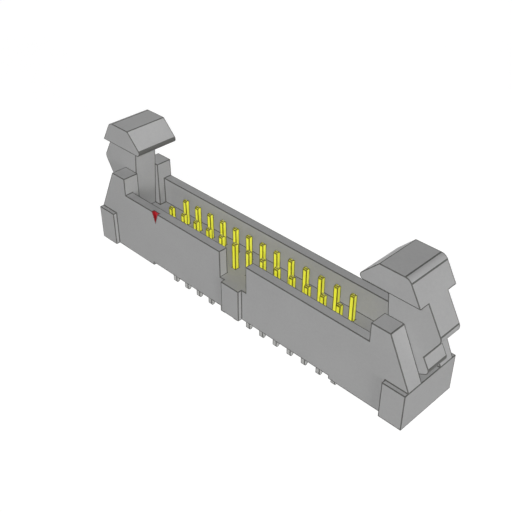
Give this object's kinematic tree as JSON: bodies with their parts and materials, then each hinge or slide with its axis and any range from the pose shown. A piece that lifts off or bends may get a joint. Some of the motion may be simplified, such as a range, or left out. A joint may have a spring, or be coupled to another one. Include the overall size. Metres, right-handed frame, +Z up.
{
  "type": "idc box header",
  "caption": "Straight two-row shrouded pin header for a circuit board, with a polarising slot and a long pivoting latch at each end that locks and ejects the plug.",
  "frame": {"origin": "centre of the pin grid, on the plane where the housing's feet stand on the circuit board", "axes": "+X along the pin rows towards the last pins, +Y away from the polarising slot, +Z up from the board"},
  "size_m": [0.0586, 0.0096, 0.0228],
  "materials": {
    "housing_grey": "fine moulded grey, glass-filled",
    "latch_grey": "fine moulded grey, glass-filled",
    "pin_gold": "bright yellow plating above the floor, pale tin on the tails",
    "mark_red": "red paint"
  },
  "bodies": {
    "header": {"housing": "housing_grey", "pin_one_mark": "mark_red", "pin_01": "pin_gold", "pin_02": "pin_gold", "pin_03": "pin_gold", "pin_04": "pin_gold", "pin_05": "pin_gold", "pin_06": "pin_gold", "pin_07": "pin_gold", "pin_08": "pin_gold", "pin_09": "pin_gold", "pin_10": "pin_gold", "pin_11": "pin_gold", "pin_12": "pin_gold", "pin_13": "pin_gold", "pin_14": "pin_gold", "pin_15": "pin_gold", "pin_16": "pin_gold", "pin_17": "pin_gold", "pin_18": "pin_gold", "pin_19": "pin_gold", "pin_20": "pin_gold", "pin_21": "pin_gold", "pin_22": "pin_gold", "pin_23": "pin_gold", "pin_24": "pin_gold", "pin_25": "pin_gold", "pin_26": "pin_gold"},
    "latch_left": {"latch_left": "latch_grey"},
    "latch_right": {"latch_right": "latch_grey"}
  },
  "joints": [
    {"name": "latch_left_pivot", "type": "hinge", "parent": "header", "child": "latch_left", "pos_m": [-0.0251, 0, 0.0074], "axis": [0, -1, 0], "range_deg": [0, 30]},
    {"name": "latch_right_pivot", "type": "hinge", "parent": "header", "child": "latch_right", "pos_m": [0.0251, 0, 0.0074], "axis": [0, 1, 0], "range_deg": [0, 30]}
  ]
}
